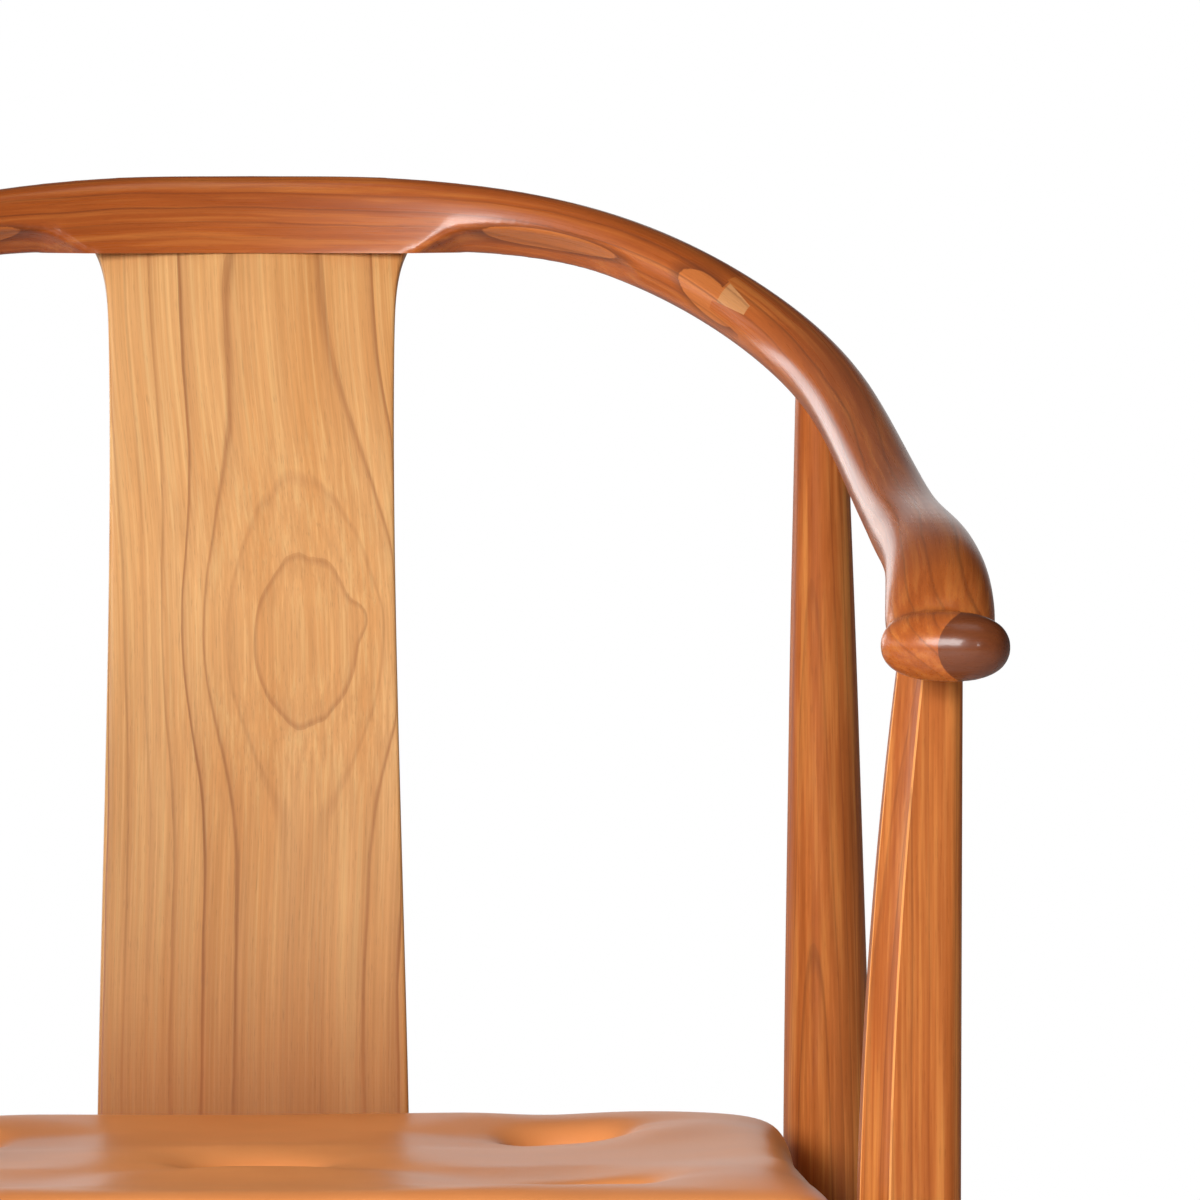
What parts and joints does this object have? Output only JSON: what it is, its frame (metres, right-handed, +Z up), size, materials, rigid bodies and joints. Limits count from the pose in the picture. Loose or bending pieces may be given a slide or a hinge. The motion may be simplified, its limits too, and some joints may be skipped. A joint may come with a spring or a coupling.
{
  "type": "horseshoe back armchair",
  "caption": "Solid cherry armchair with a horseshoe arm and crest rail ending in rounded knobs, a bent back splat, arched seat rails and a loose tufted leather cushion.",
  "frame": {"origin": "on the floor, in the middle of the chair's outline", "axes": "+X towards the sitter's left, +Y towards the back, +Z up"},
  "size_m": [0.552, 0.5702, 0.821],
  "materials": {
    "cherry": "satin oiled cherry",
    "plywood": "sanded birch plywood",
    "block_beech": "planed beech",
    "leather": "smooth tan leather",
    "foam": "upholstery foam",
    "twine": "waxed linen twine",
    "screw_steel": "zinc-plated",
    "glide": "dark nylon"
  },
  "bodies": {
    "frame": {"crest_rail": "cherry", "arm_left": "cherry", "arm_right": "cherry", "back_splat": "cherry", "front_leg_left": "cherry", "front_leg_right": "cherry", "rear_leg_left": "cherry", "rear_leg_right": "cherry", "seat_rail_front": "cherry", "seat_rail_back": "cherry", "seat_rail_left": "cherry", "seat_rail_right": "cherry", "stretcher_front": "cherry", "stretcher_back": "cherry", "stretcher_left": "cherry", "stretcher_right": "cherry", "seat_panel": "plywood", "corner_block_front_left": "block_beech", "corner_block_front_right": "block_beech", "corner_block_back_left": "block_beech", "corner_block_back_right": "block_beech", "corner_block_screws": "screw_steel", "seat_panel_screws": "screw_steel", "foot_glides": "glide"},
    "cushion": {"cushion_cover": "leather", "cushion_base": "leather", "cushion_core": "foam", "tuft_buttons_top": "leather", "tuft_buttons_bottom": "leather", "tuft_twines": "twine"}
  },
  "joints": [
    {"name": "cushion_lift", "type": "slide", "parent": "frame", "child": "cushion", "axis": [0, 0, 1], "range_m": [0, 0.08]}
  ]
}
